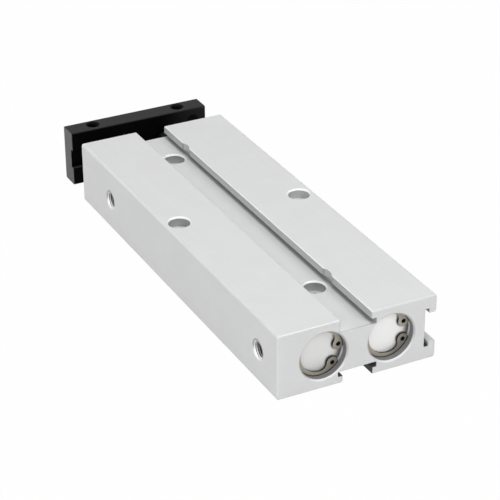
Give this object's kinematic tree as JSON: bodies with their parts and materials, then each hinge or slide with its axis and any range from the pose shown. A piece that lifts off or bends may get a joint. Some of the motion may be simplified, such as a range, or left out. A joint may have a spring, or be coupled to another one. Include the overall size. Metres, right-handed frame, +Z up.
{
  "type": "twin rod pneumatic cylinder",
  "caption": "Flat extruded air cylinder with two rods side by side in one body, moving a grooved tool plate along a guided stroke.",
  "frame": {"origin": "centre of the footprint with the rods drawn in, on the plane that the body rests on", "axes": "+X along the rods towards the tool plate, +Y towards the air ports, +Z up"},
  "size_m": [0.22, 0.072, 0.029],
  "materials": {
    "anodised_body": "matt blasted and silver anodised",
    "turned_aluminium": "fine turned",
    "black_plate": "matt black oxide",
    "spring_steel": "phosphated spring steel",
    "chromed_rod": "ground and hard chromed",
    "screw_steel": "black oxide",
    "bronze_bush": "oil filled sintered bronze",
    "seal_rubber": "nitrile rubber",
    "bumper_rubber": "soft rubber",
    "magnet": "plastic bonded ferrite",
    "wear_plastic": "filled bearing plastic"
  },
  "bodies": {
    "barrel": {"body": "anodised_body", "left_back_cover": "turned_aluminium", "left_back_cover_oring": "seal_rubber", "left_rear_clip": "spring_steel", "left_front_cover": "turned_aluminium", "left_front_cover_oring": "seal_rubber", "left_guide_bush": "bronze_bush", "left_rod_seal": "seal_rubber", "left_front_clip": "spring_steel", "right_back_cover": "turned_aluminium", "right_back_cover_oring": "seal_rubber", "right_rear_clip": "spring_steel", "right_front_cover": "turned_aluminium", "right_front_cover_oring": "seal_rubber", "right_guide_bush": "bronze_bush", "right_rod_seal": "seal_rubber", "right_front_clip": "spring_steel"},
    "rod_assembly": {"tool_plate": "black_plate", "plate_screws": "screw_steel", "left_rod": "chromed_rod", "left_piston": "turned_aluminium", "left_piston_seal": "seal_rubber", "left_magnet_ring": "magnet", "left_wear_ring": "wear_plastic", "left_rear_bumper": "bumper_rubber", "left_front_bumper": "bumper_rubber", "left_piston_screw": "screw_steel", "right_rod": "chromed_rod", "right_piston": "turned_aluminium", "right_piston_seal": "seal_rubber", "right_magnet_ring": "magnet", "right_wear_ring": "wear_plastic", "right_rear_bumper": "bumper_rubber", "right_front_bumper": "bumper_rubber", "right_piston_screw": "screw_steel"}
  },
  "joints": [
    {"name": "rod_slide", "type": "slide", "parent": "barrel", "child": "rod_assembly", "axis": [1, 0, 0], "range_m": [0, 0.125]}
  ]
}
